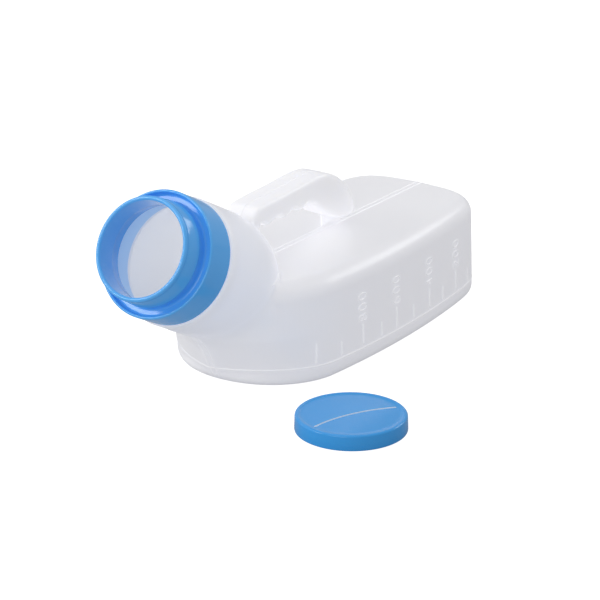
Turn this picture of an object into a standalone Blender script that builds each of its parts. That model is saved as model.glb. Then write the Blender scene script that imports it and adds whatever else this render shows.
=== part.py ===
"""Hand-held urinal bottle: blow-moulded bottle lying on its base, press-on inlet ring, loose snap cap.

Metres, +Z up. The neck points to -Y, the graduations are on the +X wall, and the origin is on the
ground under the middle of the base. Everything on the bottle is symmetric about X = 0 except the marks.
"""

from bisect import bisect_left
from math import cos, pi, radians, sin, sqrt

import bmesh
import bpy
from mathutils import Matrix, Vector

# Fits
GAP = 0.0003
WALL = 0.0015

# Body, a low boat-shaped box
BODY_END = 0.110
BODY_HALF_WIDTH = 0.0553
WIDEST_Y = -0.004
SIDE_BOW = 0.825
BOW_FROM_Y = -0.062
BOW_FOOT = 0.1052
BOW_LEAN = 0.565
LEAN_TO_Z = 0.030
BOW_BLEND_Z = 0.008
BOW_SIDE_PULL = (0.45, 0.66)
BOW_NOSE_PULL = (0.65, 0.12)
REAR_FROM_Y = 0.070
REAR_POWER = 4.0
SIDE_TUCK = 0.0020
DECK_EDGE_Z = 0.0604
RIDGE_Z = 0.0614
BASE_RADIUS = 0.0060
SHOULDER_RADIUS = 0.0095

# Neck and hood, turned about the inlet axis; depths run from the lip into the bottle
LIP_CENTRE = (0.0, -0.1706, 0.0977)
NECK_TILT = radians(28.0)
NECK_FRONT = 0.0205
NECK_SHOULDER = 0.0337
FINISH_R = 0.0334
NECK_R = 0.0361
DOME_FROM = 0.055
DOME_LENGTH = 0.054
DOME_POWER = 2.6

# Handle, a hollow rounded bar bent down to the deck
HANDLE_HALF_WIDTH = 0.0102
HANDLE_EDGE = 0.0040
HANDLE_TOP_Z = 0.0986
GRIP_Z = 0.0840
GRIP_DEPTH = 0.0011
GRIP_PITCH = 0.0157
GRIP_FIRST_Y = -0.0750
WEB_HALF = 0.00125
WEB_Y = (-0.0005, 0.0170)
WEB_Z = (0.0570, 0.0720)

# Inlet ring
LIP_R = 0.0287
BORE_R = 0.0262
BORE_STEP = 0.0128
THROAT_R = 0.0274
FLARE_R = 0.0296
FLARE_END = 0.0119
TROUGH_R = 0.0288
TROUGH_FLOOR = 0.0184
RIM_FRONT = 0.0147
RING_R = 0.0353
RIM_INNER_R = 0.0336
RING_BACK = 0.0334

# Cap
CAP_R = 0.0305
CAP_HEIGHT = 0.00875
CAP_TOP = 0.0018
CAP_INNER_R = 0.0290
CAP_CENTRE = (0.0985, -0.1173)
CAP_FACE_DROP = 0.0004
CREASE_CENTRE = (0.0697, -0.0323)
CREASE_R = 0.0766
CREASE_ARC = (133.5, 175.7)

# Graduations, one rib for each 100 ml, counted up from the rear end
MARK_Y = (-0.0765, -0.0576, -0.0378, -0.0198, -0.0041, 0.0144, 0.0330, 0.0499, 0.0677, 0.0852)
MARK_LONG = (1, 0, 1, 0, 1, 0, 1, 0, 1, 0)
MARK_Z = 0.0115
MARK_TALL = 0.0135
MARK_SHORT = 0.0090
MARK_HALF = 0.0004
MARK_PROUD = 0.0004

STEPS = 72


def clear_scene():
    for obj in list(bpy.data.objects):
        bpy.data.objects.remove(obj, do_unlink=True)


def new_collection(name):
    made = bpy.data.collections.new(name)
    bpy.context.scene.collection.children.link(made)
    return made


def plastic(name, colour, roughness, transmission=0.0):
    made = bpy.data.materials.new(name)
    made.use_nodes = True
    shader = made.node_tree.nodes["Principled BSDF"]
    shader.inputs["Base Color"].default_value = (*colour, 1.0)
    shader.inputs["Roughness"].default_value = roughness
    shader.inputs["Metallic"].default_value = 0.0
    shader.inputs["Transmission Weight"].default_value = transmission
    made.diffuse_color = (*colour, 1.0)
    return made


def add_mesh(name, verts, faces, collection, edges=()):
    mesh = bpy.data.meshes.new(name)
    mesh.from_pydata([tuple(v) for v in verts], list(edges), faces)
    mesh.update()
    if faces:
        work = bmesh.new()
        work.from_mesh(mesh)
        bmesh.ops.recalc_face_normals(work, faces=work.faces)
        work.to_mesh(mesh)
        work.free()
    obj = bpy.data.objects.new(name, mesh)
    collection.objects.link(obj)
    return obj


def as_helper(obj):
    obj.hide_render = True
    obj.display_type = "WIRE"
    return obj


def boolean(obj, other, operation):
    cut = obj.modifiers.new(operation.lower() + "_" + other.name, "BOOLEAN")
    cut.operation = operation
    cut.solver = "EXACT"
    cut.object = other


def stacked_rings(name, rings, collection, ridge=None):
    """Closed solid through rings of equal point count; a ridge polyline roofs the last ring."""
    count = len(rings[0])
    verts = [v for ring in rings for v in ring]
    faces = []
    for level in range(len(rings) - 1):
        low = level * count
        high = low + count
        for i in range(count):
            j = (i + 1) % count
            faces.append((low + i, low + j, high + j, high + i))
    faces.append(tuple(reversed(range(count))))
    last = (len(rings) - 1) * count
    if ridge is None:
        faces.append(tuple(last + i for i in range(count)))
        return add_mesh(name, verts, faces, collection)
    # Ring point 0 is the rear middle and point count/2 the front middle; the ridge joins them.
    half = count // 2
    first = len(verts)
    verts += ridge
    for side in (1, -1):
        def ring_at(i):
            return last + (side * i) % count

        faces.append((ring_at(0), ring_at(1), first))
        for i in range(1, half - 1):
            faces.append((ring_at(i), ring_at(i + 1), first + i, first + i - 1))
        faces.append((ring_at(half - 1), ring_at(half), first + half - 2))
    return add_mesh(name, verts, faces, collection)


def side_half_width(y):
    return BODY_HALF_WIDTH - SIDE_BOW * (y - WIDEST_Y) ** 2


def side_tuck(z):
    """How far the side walls lean in at a height."""
    return SIDE_TUCK * max(0.0, z - 0.010) / (DECK_EDGE_Z - 0.010)


def bow_point(t, z, inset):
    """Point (x, y) on the right half of the bow, a cubic curve from the side wall to the nose."""
    blend = min(1.0, z / BOW_BLEND_Z)
    side_pull = BOW_SIDE_PULL[0] + (BOW_SIDE_PULL[1] - BOW_SIDE_PULL[0]) * blend
    nose_pull = BOW_NOSE_PULL[0] + (BOW_NOSE_PULL[1] - BOW_NOSE_PULL[0]) * blend
    nose_y = -BOW_FOOT - BOW_LEAN * min(z, LEAN_TO_Z) + inset
    side_x = side_half_width(BOW_FROM_Y) - inset - side_tuck(z)
    slope = -2 * SIDE_BOW * (BOW_FROM_Y - WIDEST_Y)
    reach = side_pull * (BOW_FROM_Y - nose_y)
    xs = (side_x, side_x - slope * reach, nose_pull * side_x, 0.0)
    ys = (BOW_FROM_Y, BOW_FROM_Y - reach, nose_y, nose_y)
    weights = ((1 - t) ** 3, 3 * t * (1 - t) ** 2, 3 * t * t * (1 - t), t**3)
    x = sum(w * v for w, v in zip(weights, xs))
    y = sum(w * v for w, v in zip(weights, ys))
    return x, y


def evenly_along(points, count):
    """Points at equal steps of length along a polyline, its start left out."""
    lengths = [0.0]
    for before, after in zip(points, points[1:]):
        lengths.append(lengths[-1] + sqrt((after[0] - before[0]) ** 2 + (after[1] - before[1]) ** 2))
    spaced = []
    for i in range(1, count + 1):
        wanted = lengths[-1] * i / count
        k = min(max(1, bisect_left(lengths, wanted)), len(points) - 1)
        share = (wanted - lengths[k - 1]) / (lengths[k] - lengths[k - 1])
        start, end = points[k - 1], points[k]
        spaced.append((start[0] + share * (end[0] - start[0]), start[1] + share * (end[1] - start[1])))
    return spaced


def wall_x(y, z):
    """Half-width of the wall at a station along the body and a height above the base radius."""
    if y < BOW_FROM_Y:
        low, high = 0.0, 1.0
        for _ in range(30):
            middle = 0.5 * (low + high)
            if bow_point(middle, z, 0.0)[1] > y:
                low = middle
            else:
                high = middle
        return bow_point(low, z, 0.0)[0]
    share = max(0.0, (y - REAR_FROM_Y) / (BODY_END - REAR_FROM_Y))
    return (side_half_width(y) - side_tuck(z)) * (1 - share**REAR_POWER) ** (1 / REAR_POWER)


def plan_outline(z, inset, end_points=11, side_points=9):
    """The plan at a height, moved in all round; rear middle, right side, front middle, left side."""
    side_inset = inset + side_tuck(z)
    right = []
    for i in range(end_points):
        angle = 0.5 * pi * (1 - i / end_points)
        along = sin(angle) ** (2 / REAR_POWER)
        across = cos(angle) ** (2 / REAR_POWER) if i else 0.0
        y = REAR_FROM_Y + along * (BODY_END - inset - REAR_FROM_Y)
        right.append((across * (side_half_width(y) - side_inset), y))
    for i in range(side_points):
        y = REAR_FROM_Y + (BOW_FROM_Y - REAR_FROM_Y) * i / (side_points - 1)
        right.append((side_half_width(y) - side_inset, y))
    bow = [bow_point(i / 60, z, inset) for i in range(61)]
    right += evenly_along(bow, 14)
    left = [(-x, y) for x, y in right[-2:0:-1]]
    return right + left


def moved_in(outline, distance):
    """Outline moved along its own inward normals."""
    moved = []
    count = len(outline)
    for i, (x, y) in enumerate(outline):
        before = outline[i - 1]
        after = outline[(i + 1) % count]
        along = Vector((after[0] - before[0], after[1] - before[1])).normalized()
        moved.append((x - along.y * -distance, y + along.x * -distance))
    return moved


def signed_area(outline):
    count = len(outline)
    total = 0.0
    for i in range(count):
        a = outline[i]
        b = outline[(i + 1) % count]
        total += a[0] * b[1] - b[0] * a[1]
    return total


def inset_outline(outline, distance):
    turn = -1.0 if signed_area(outline) > 0 else 1.0
    return moved_in(outline, distance * turn)


def body_form(name, collection, inset):
    """The body as horizontal slices; inset 0 gives the outside, the wall gives the cavity."""
    low = inset
    high = DECK_EDGE_Z - inset
    base_r = BASE_RADIUS - inset
    top_r = SHOULDER_RADIUS - inset
    levels = []
    for i in range(6):
        angle = 0.5 * pi * i / 5
        levels.append((low + base_r * (1 - cos(angle)), base_r * (1 - sin(angle))))
    levels += [(0.010, 0.0), (0.020, 0.0), (LEAN_TO_Z, 0.0), (0.040, 0.0)]
    for i in range(6):
        angle = 0.5 * pi * i / 5
        levels.append((high - top_r * (1 - sin(angle)), top_r * (1 - cos(angle))))
    rings = []
    for z, back in levels:
        rings.append([(x, y, z) for x, y in plan_outline(z, inset + back)])
    top = rings[-1]
    half = len(top) // 2
    rise = RIDGE_Z - inset - high
    ridge = []
    for i in range(1, half):
        x, y, z = top[i]
        ridge.append((0.0, y, z + rise * min(1.0, x / 0.030)))
    return stacked_rings(name, rings, collection, ridge)


def neck_frame():
    """Local +Z runs out of the bottle along the inlet axis, from the middle of the lip."""
    return Matrix.Translation(LIP_CENTRE) @ Matrix.Rotation(0.5 * pi - NECK_TILT, 4, "X")


def turned(name, profile, collection, closed, matrix, steps=STEPS):
    """Solid of revolution: profile points (radius, height) swept by a Screw about local Z."""
    verts = [(r, 0.0, z) for r, z in profile]
    edges = [(i, i + 1) for i in range(len(verts) - 1)]
    if closed:
        edges.append((len(verts) - 1, 0))
    obj = add_mesh(name, verts, [], collection, edges)
    screw = obj.modifiers.new("turn", "SCREW")
    screw.axis = "Z"
    screw.angle = 2 * pi
    screw.steps = steps
    screw.render_steps = steps
    screw.use_merge_vertices = True
    screw.merge_threshold = 1e-5
    screw.use_smooth_shade = True
    obj.matrix_world = matrix
    return obj


def arc(centre, radius, start, end, count):
    """Points on an arc in a plane, angles in degrees from the first axis."""
    points = []
    for i in range(count):
        angle = radians(start + (end - start) * i / (count - 1))
        points.append((centre[0] + radius * cos(angle), centre[1] + radius * sin(angle)))
    return points


def dome_profile(radius, length):
    points = []
    for i in range(1, 12):
        share = sin(0.5 * pi * i / 12)
        points.append((radius * (1 - share**DOME_POWER) ** (1 / DOME_POWER), -DOME_FROM - length * share))
    points.append((0.0, -DOME_FROM - length))
    return points


def neck_outside(collection):
    profile = [(0.0, -NECK_FRONT), (FINISH_R - 0.0006, -NECK_FRONT), (FINISH_R, -NECK_FRONT - 0.0006)]
    profile += [(FINISH_R, -NECK_SHOULDER)]
    profile += [(NECK_R - 0.0012, -NECK_SHOULDER), (NECK_R, -NECK_SHOULDER - 0.0012)]
    profile += [(NECK_R, -0.047), (NECK_R, -DOME_FROM)]
    profile += dome_profile(NECK_R, DOME_LENGTH)
    return as_helper(turned("neck_outside", profile, collection, False, neck_frame(), 64))


def neck_inside(collection):
    radius = NECK_R - WALL
    profile = [(0.0, -NECK_FRONT + 0.010), (FINISH_R - 0.0016, -NECK_FRONT + 0.010)]
    profile += [(FINISH_R - 0.0016, -NECK_SHOULDER - 0.0020), (radius, -NECK_SHOULDER - 0.0055)]
    profile += [(radius, -0.047), (radius, -DOME_FROM)]
    profile += dome_profile(radius, DOME_LENGTH - WALL)
    return as_helper(turned("neck_inside", profile, collection, False, neck_frame(), 64))


def handle_outline():
    """Side view of the handle as (y, z): flat top, bent-down rear end, three finger grooves below."""
    points = [(-0.0960, 0.0770), (-0.0950, 0.0830), (-0.0890, 0.0870), (-0.0835, 0.0890)]
    points += [(-0.0800, 0.0915), (-0.0778, 0.0942), (-0.0750, 0.0957)]
    points += [(-0.0600, 0.0965), (-0.0360, 0.0976), (-0.0180, HANDLE_TOP_Z), (-0.0080, 0.0974)]
    points += [(0.0000, 0.0943), (0.0075, 0.0890), (0.0135, 0.0822), (0.0175, 0.0762), (0.0193, 0.0715)]
    points += [(0.0188, 0.0680), (0.0160, 0.0662), (0.0090, 0.0662), (0.0020, 0.0680)]
    points += [(-0.0060, 0.0718), (-0.0140, 0.0770), (-0.0210, 0.0822)]
    samples = 19
    length = 3 * GRIP_PITCH
    for i in range(samples):
        along = 1 - i / (samples - 1)
        y = GRIP_FIRST_Y + length * along
        z = GRIP_Z + GRIP_DEPTH * cos(2 * pi * 3 * along)
        points.append((y, z))
    points += [(-0.0768, 0.0800), (-0.0790, 0.0740), (-0.0880, 0.0700)]
    return points


def pillow(name, outline, half_width, edge, inset, collection):
    """A side-view outline given thickness along X, with both rims rounded."""
    radius = edge - inset
    flat = half_width - edge
    sections = []
    for i in range(4):
        angle = 0.5 * pi * (1 - i / 3)
        sections.append((flat + radius * sin(angle), radius * (1 - cos(angle))))
    sections += [(-x, back) for x, back in reversed(sections)]
    rings = []
    for x, back in sections:
        ring = inset_outline(outline, inset + back)
        rings.append([(x, y, z) for y, z in ring])
    return stacked_rings(name, rings, collection)


def bars(name, ends, collection):
    """Upright square bars: (lower x span, upper x span, y span, z span) each."""
    verts = []
    faces = []
    for low_x, high_x, span_y, span_z in ends:
        n = len(verts)
        verts += [(x, y, z) for span_x, z in zip((low_x, high_x), span_z) for y in span_y for x in span_x]
        for corners in ((0, 2, 3, 1), (4, 5, 7, 6), (0, 1, 5, 4), (2, 6, 7, 3), (0, 4, 6, 2), (1, 3, 7, 5)):
            faces.append(tuple(n + i for i in corners))
    return as_helper(add_mesh(name, verts, faces, collection))


def graduation_bars():
    ends = []
    for y, tall in zip(MARK_Y, MARK_LONG):
        top = MARK_Z + (MARK_TALL if tall else MARK_SHORT)
        spans = []
        for z in (MARK_Z, top):
            x = wall_x(y, z)
            spans.append((x - 0.0007, x + MARK_PROUD))
        ends.append((*spans, (y - MARK_HALF, y + MARK_HALF), (MARK_Z, top)))
    return ends


def make_bottle(parts, cutters, material):
    bottle = body_form("bottle", parts, 0.0)
    handle = as_helper(pillow("handle_outside", handle_outline(), HANDLE_HALF_WIDTH, HANDLE_EDGE, 0.0, cutters))
    web_x = (-WEB_HALF, WEB_HALF)
    web = bars("handle_web", [(web_x, web_x, WEB_Y, WEB_Z)], cutters)
    ribs = bars("graduation_ribs", graduation_bars(), cutters)
    for added in (neck_outside(cutters), handle, web, ribs):
        boolean(bottle, added, "UNION")
    cavity = as_helper(body_form("cavity", cutters, WALL))
    grip = as_helper(pillow("handle_inside", handle_outline(), HANDLE_HALF_WIDTH, HANDLE_EDGE, WALL, cutters))
    for added in (neck_inside(cutters), grip):
        boolean(cavity, added, "UNION")
    boolean(bottle, cavity, "DIFFERENCE")
    bottle.data.materials.append(material)
    for polygon in bottle.data.polygons:
        polygon.use_smooth = True
    return bottle


def make_ring(parts, material):
    lip = 0.5 * (LIP_R - BORE_R)
    profile = arc((LIP_R - lip, -lip), lip, 90, 0, 4)
    profile += [(LIP_R, -0.0026), (LIP_R - 0.0004, -0.0032)]
    profile += [(FLARE_R - 0.0003, -FLARE_END + 0.0020), (FLARE_R, -FLARE_END + 0.0008)]
    profile += [(FLARE_R - 0.0003, -FLARE_END - 0.0004), (TROUGH_R, -FLARE_END - 0.0014)]
    profile += arc((TROUGH_R + 0.0015, -TROUGH_FLOOR + 0.0015), 0.0015, 180, 270, 4)
    profile += arc((RIM_INNER_R - 0.0015, -TROUGH_FLOOR + 0.0015), 0.0015, 270, 360, 4)
    rim = 0.5 * (RING_R - RIM_INNER_R)
    profile += arc((RING_R - rim, -RIM_FRONT - rim), rim, 180, 0, 7)
    profile += [(RING_R, -RING_BACK + 0.0005), (RING_R - 0.0005, -RING_BACK)]
    socket = FINISH_R + GAP
    profile += [(socket, -RING_BACK), (socket, -NECK_FRONT + GAP)]
    profile += [(THROAT_R + 0.0004, -NECK_FRONT + GAP), (THROAT_R, -NECK_FRONT + GAP + 0.0004)]
    profile += [(THROAT_R, -BORE_STEP - 0.0010), (BORE_R + 0.0003, -BORE_STEP - 0.0006)]
    profile += [(BORE_R, -BORE_STEP)]
    profile += arc((BORE_R + lip, -lip), lip, 180, 120, 3)
    ring = turned("inlet_ring", profile, parts, True, neck_frame())
    ring.data.materials.append(material)
    return ring


def cap_crease(collection):
    """Low curved rib across the cap's face, centred on a point outside the cap."""
    outlines = []
    middle = (CAP_CENTRE[0] + CREASE_CENTRE[0], CAP_CENTRE[1] + CREASE_CENTRE[1])
    outer = arc(middle, CREASE_R + 0.0004, *CREASE_ARC, 25)
    inner = arc(middle, CREASE_R - 0.0004, *CREASE_ARC, 25)
    outline = outer + inner[::-1]
    for z in (CAP_HEIGHT - 0.0010, CAP_HEIGHT - 0.0001):
        outlines.append([(x, y, z) for x, y in outline])
    return as_helper(stacked_rings("cap_crease", outlines, collection))


def make_cap(parts, cutters, material):
    top = CAP_HEIGHT
    face = top - CAP_FACE_DROP
    profile = [(0.0, face), (CAP_R - 0.0036, face), (CAP_R - 0.0026, top)]
    profile += arc((CAP_R - 0.0020, top - 0.0012), 0.0012, 90, 0, 5)
    profile += [(CAP_R - 0.0003, 0.5 * top), (CAP_R, 0.0004), (CAP_R - 0.0004, 0.0)]
    profile += [(CAP_INNER_R + 0.0003, 0.0), (CAP_INNER_R - 0.0003, 0.0012), (CAP_INNER_R, 0.0024)]
    profile += [(CAP_INNER_R - 0.0006, top - CAP_TOP - 0.0010), (CAP_INNER_R - 0.0016, top - CAP_TOP)]
    profile += [(0.0, top - CAP_TOP)]
    cap = turned("cap", profile, parts, False, Matrix.Translation((*CAP_CENTRE, 0.0)))
    boolean(cap, cap_crease(cutters), "UNION")
    cap.data.materials.append(material)
    return cap


def main():
    clear_scene()
    parts = new_collection("urinal_bottle")
    cutters = new_collection("cutters")
    cutters.hide_render = True
    milky = plastic("milky_polypropylene", (0.86, 0.87, 0.90), 0.35, 0.5)
    blue = plastic("blue_polyethylene", (0.07, 0.28, 0.62), 0.32)
    make_bottle(parts, cutters, milky)
    make_ring(parts, blue)
    make_cap(parts, cutters, blue)


main()
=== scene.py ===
"""Hand-held urinal bottle, the looks: milky blow-moulded bottle, blue press-on inlet ring, loose blue cap.

Metres, +Z up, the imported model's own frame. The bottle's skin is a smooth surface round the same body,
neck, hood and handle as the CAD; the ring and the cap are turned finely on the CAD pieces' own axes.
"""

from math import atan2, cos, pi, radians, sin, sqrt

import bmesh
import bpy
import numpy as np
from mathutils import Matrix, Vector


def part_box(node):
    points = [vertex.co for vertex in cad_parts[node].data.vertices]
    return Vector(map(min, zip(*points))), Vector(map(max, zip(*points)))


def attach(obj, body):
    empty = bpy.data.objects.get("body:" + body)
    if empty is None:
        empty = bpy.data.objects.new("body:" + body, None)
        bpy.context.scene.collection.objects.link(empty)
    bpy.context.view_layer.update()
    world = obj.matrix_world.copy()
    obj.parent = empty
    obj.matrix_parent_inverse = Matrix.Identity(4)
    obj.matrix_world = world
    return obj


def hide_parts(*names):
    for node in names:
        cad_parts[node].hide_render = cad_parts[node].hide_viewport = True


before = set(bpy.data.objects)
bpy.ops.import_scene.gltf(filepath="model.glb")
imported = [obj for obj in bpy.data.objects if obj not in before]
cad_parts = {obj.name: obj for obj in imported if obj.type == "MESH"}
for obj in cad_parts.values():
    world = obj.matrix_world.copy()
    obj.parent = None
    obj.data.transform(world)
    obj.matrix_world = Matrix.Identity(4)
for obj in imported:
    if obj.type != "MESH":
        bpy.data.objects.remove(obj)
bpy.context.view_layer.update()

# Where the CAD pieces are
CAP_LOW, CAP_HIGH = (Vector(corner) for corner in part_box("cap"))
BODY_LOW, BODY_HIGH = (Vector(corner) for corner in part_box("bottle"))

# The bottle's wall, and the gap between the neck's finish and the ring's socket
WALL = 0.0015
GAP = 0.0003

# Body
BODY_END = BODY_HIGH.y
BODY_HALF_WIDTH = 0.0553
WIDEST_Y = -0.004
SIDE_BOW = 0.825
BOW_FROM_Y = -0.062
BOW_FOOT = 0.1052
BOW_LEAN = 0.565
LEAN_TO_Z = 0.030
BOW_BLEND_Z = 0.008
BOW_SIDE_PULL = (0.45, 0.66)
BOW_NOSE_PULL = (0.65, 0.12)
REAR_FROM_Y = 0.070
REAR_POWER = 4.0
SIDE_TUCK = 0.0020
TUCK_FROM_Z = 0.010
DECK_EDGE_Z = 0.0604
RIDGE_Z = 0.0614
RIDGE_HALF_WIDTH = 0.045
BASE_RADIUS = 0.0060
SHOULDER_RADIUS = 0.0095
REAR_STEPS, SIDE_STEPS, BOW_STEPS = 26, 14, 32

# Neck and hood
LIP_CENTRE = Vector((0.0, -0.1706, 0.0977))
NECK_TILT = radians(28.0)
INWARD = Vector((0.0, cos(NECK_TILT), -sin(NECK_TILT)))
ACROSS = Vector((0.0, sin(NECK_TILT), cos(NECK_TILT)))
NECK_FRONT = 0.0205
NECK_SHOULDER = 0.0337
FINISH_R = 0.0334
NECK_R = 0.0361
DOME_FROM = 0.055
DOME_LENGTH = 0.054
DOME_POWER = 2.6
SKIN_FROM = 0.042
NECK_CORNER = 0.0012
NECK_EDGE = 0.0006
NECK_BORE = 0.0016

# Handle
HANDLE_HALF_WIDTH = 0.0102
HANDLE_EDGE = 0.0022
GRIP_Z = 0.0840
GRIP_DEPTH = 0.0011
GRIP_PITCH = 0.0157
GRIP_FIRST_Y = -0.0750
WEB_HALF = 0.00125
WEB_EDGE = 0.0008
WEB_Y = (-0.0005, 0.0170)
WEB_Z = (0.0570, 0.0720)

# Fillets where the forms run into each other; the hood's grows from the deck down to its foot
HOOD_FILLET = (0.0010, 0.0085)
FILLET_Z = (0.057, 0.042)
HANDLE_FILLET = 0.0030
WEB_FILLET = 0.0015

# Grid steps of the skin and its lining, the grid's front end, and how far off a normal is measured
SKIN_STEP = 0.00140
LINING_STEP = 0.00240
GRID_FRONT_Y = -0.156
NORMAL_REACH = 0.0004

# Inlet ring
LIP_R = 0.0287
BORE_R = 0.0262
BORE_STEP = 0.0128
THROAT_R = 0.0274
FLARE_R = 0.0296
FLARE_END = 0.0119
TROUGH_R = 0.0288
TROUGH_FLOOR = 0.0184
RIM_FRONT = 0.0147
RING_R = 0.0353
RIM_INNER_R = 0.0336
RING_BACK = 0.0334

# Cap
CAP_CENTRE = 0.5 * (CAP_LOW + CAP_HIGH)
CAP_R = 0.5 * (CAP_HIGH.x - CAP_LOW.x)
CAP_HEIGHT = CAP_HIGH.z
CAP_TOP = 0.0018
CAP_INNER_R = 0.0290
RIB_CENTRE = (0.0697, -0.0323)
RIB_R = 0.0766
RIB_HALF = 0.0007
RIB_PROUD = 0.0004
RIB_SHORT = 0.0040
CAP_DISH = 0.0004

# Graduations
MARK_Y = (-0.0765, -0.0576, -0.0378, -0.0198, -0.0041, 0.0144, 0.0330, 0.0499, 0.0677, 0.0852)
MARK_LONG = (1, 0, 1, 0, 1, 0, 1, 0, 1, 0)
MARK_Z = 0.0115
MARK_TALL = 0.0135
MARK_SHORT = 0.0090
MARK_HALF = 0.0006
MARK_PROUD = 0.00038
NUMERALS = ((-0.0378, "800"), (-0.0041, "600"), (0.0330, "400"), (0.0677, "200"))
NUMERAL_Z = 0.0262
NUMERAL_PITCH = 0.0063
NUMERAL_WIDE = 0.0044
NUMERAL_TALL = 0.0074
NUMERAL_HALF = 0.0005
NUMERAL_PROUD = 0.00026

# Parting line of the mould, with a second line beside it on the bow and the deck
PARTING_BAND = 0.0036
PARTING_HALF = 0.00055
PARTING_PROUD = 0.00028
PARTING_X = 0.0002
PARTING_LOW_Z = 0.0045
BOW_LINE_TOP_Z = 0.038
DECK_LINE_Z = (0.055, 0.0625)
DECK_LINE_FROM_Y = -0.066

# Low bead along the hood's foot on the deck, and the painted highlight line where the base radius ends
HOOD_BEAD_HALF = 0.0009
HOOD_BEAD_PROUD = 0.0006
HOOD_BEAD_REACH = 0.0345
BASE_HIGHLIGHT_Z = 0.0104
BASE_HIGHLIGHT_HALF = 0.0007
BASE_HIGHLIGHT_PROUD = 0.00022

# How deep the raised lines' edges are sunk in the surface
SINK = 0.00012

# Material slots of the bottle's mesh; the second is painted light, the blue collar's light seen through the
# milky neck
SKIN_SLOT, PAINTED_BLUE_SLOT, LINING_SLOT = 0, 1, 2

# Finish of the mouldings, and how far light goes in the milky one
MILKY_FINISH = {"roughness": 0.32, "rough_spread": 0.03, "grain": 900.0, "bump": 0.03}
RAISED_FINISH = {"roughness": 0.20, "rough_spread": 0.03, "grain": 900.0, "bump": 0.02}
BLUE_FINISH = {"roughness": 0.14, "rough_spread": 0.03, "grain": 1200.0, "bump": 0.02, "ior": 1.51}
MILKY_DEPTH = {"subsurface": 1.0, "radius": (0.0080, 0.0082, 0.0088)}
COAT_ROUGHNESS = 0.18
COLOUR_SCALE, COLOUR_STOPS = 22.0, (0.30, 0.72)
GLOSS_SCALE = 70.0
RIPPLE_SCALE = 45.0
GRAIN_DEPTH = 0.0002
RIPPLE_DEPTH = 0.0010
# Heights over which the milky colour turns to the painted top shade on the handle
TOP_SHADE_Z = (0.0640, 0.0740)

# Camera
CAMERA_LENS = 156.0
CAMERA_SENSOR = 36.0
CAMERA_PLACE = (0.8000, -1.1823, 0.5551)
CAMERA_AIM = (-0.0119, -0.0054, 0.0148)

# Floor, backdrop and lights: (name, place, aim, size, power) each
FLOOR_SHADE = (0.50, 0.50, 0.50, 1.0)
FLOOR_ROUGHNESS = 0.9
FLOOR_HALF_WIDTH = 4.0
FLOOR_GLOW = 0.84
WORLD_SHADE = (0.98, 0.985, 1.0, 1.0)
WORLD_LIGHT = 0.48
MIDDLE = (0.0, 0.0, 0.05)
LIGHTS = (("left", (-1.5, -0.6, 0.8), MIDDLE, (1.0, 1.2), 4.6),
          ("top", (-0.2, -0.1, 1.7), MIDDLE, (1.4, 1.4), 3.6),
          ("back", (0.62, 1.30, 0.95), MIDDLE, (1.0, 0.50), 5.0),
          ("front", (0.3, -1.6, 0.5), MIDDLE, (1.0, 0.6), 5.0),
          ("front_left", (-0.93, -1.27, 0.78), LIP_CENTRE, (0.50, 0.50), 4.5))


# ---------------------------------------------------------------- plan and side outlines

def side_half_width(y):
    """Half-width of the bowed side at a station, at the ground."""
    return BODY_HALF_WIDTH - SIDE_BOW * (y - WIDEST_Y) ** 2


def side_tuck(z):
    """How far the side has leaned in at a height."""
    return SIDE_TUCK * max(0.0, z - TUCK_FROM_Z) / (DECK_EDGE_Z - TUCK_FROM_Z)


def bow_point(t, z):
    """Point (x, y) on the right half of the bow, a cubic curve from the side wall to the nose."""
    blend = min(1.0, z / BOW_BLEND_Z)
    side_pull = BOW_SIDE_PULL[0] + (BOW_SIDE_PULL[1] - BOW_SIDE_PULL[0]) * blend
    nose_pull = BOW_NOSE_PULL[0] + (BOW_NOSE_PULL[1] - BOW_NOSE_PULL[0]) * blend
    nose_y = -BOW_FOOT - BOW_LEAN * min(z, LEAN_TO_Z)
    side_x = side_half_width(BOW_FROM_Y) - side_tuck(z)
    slope = -2 * SIDE_BOW * (BOW_FROM_Y - WIDEST_Y)
    reach = side_pull * (BOW_FROM_Y - nose_y)
    xs = (side_x, side_x - slope * reach, nose_pull * side_x, 0.0)
    ys = (BOW_FROM_Y, BOW_FROM_Y - reach, nose_y, nose_y)
    weights = ((1 - t) ** 3, 3 * t * (1 - t) ** 2, 3 * t * t * (1 - t), t**3)
    return sum(w * v for w, v in zip(weights, xs)), sum(w * v for w, v in zip(weights, ys))


def half_outline(z):
    """Right half of the plan at a height, from the rear middle to the nose, as an (n, 2) array."""
    points = []
    for i in range(REAR_STEPS):
        angle = 0.5 * pi * (1 - i / REAR_STEPS)
        y = REAR_FROM_Y + sin(angle) ** (2 / REAR_POWER) * (BODY_END - REAR_FROM_Y)
        across = cos(angle) ** (2 / REAR_POWER) if i else 0.0
        points.append((across * (side_half_width(y) - side_tuck(z)), y))
    for i in range(SIDE_STEPS):
        y = REAR_FROM_Y + (BOW_FROM_Y - REAR_FROM_Y) * i / SIDE_STEPS
        points.append((side_half_width(y) - side_tuck(z), y))
    points += [bow_point(i / BOW_STEPS, z) for i in range(BOW_STEPS + 1)]
    return np.array(points)


OUTLINE_LEVELS = np.array((-0.01, 0.0, 0.002, 0.004, 0.006, 0.008, 0.010, 0.020,
                           LEAN_TO_Z, DECK_EDGE_Z, 0.14))
OUTLINES = np.array([half_outline(min(max(z, 0.0), DECK_EDGE_Z)) for z in OUTLINE_LEVELS])


def wall_x(y, z):
    """Half-width of the side wall at a station and a height above the base radius."""
    if y > BOW_FROM_Y:
        share = max(0.0, (y - REAR_FROM_Y) / (BODY_END - REAR_FROM_Y))
        return (side_half_width(y) - side_tuck(z)) * (1 - share**REAR_POWER) ** (1 / REAR_POWER)
    low, high = 0.0, 1.0
    for _ in range(30):
        middle = 0.5 * (low + high)
        if bow_point(middle, z)[1] > y:
            low = middle
        else:
            high = middle
    return bow_point(low, z)[0]


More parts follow.
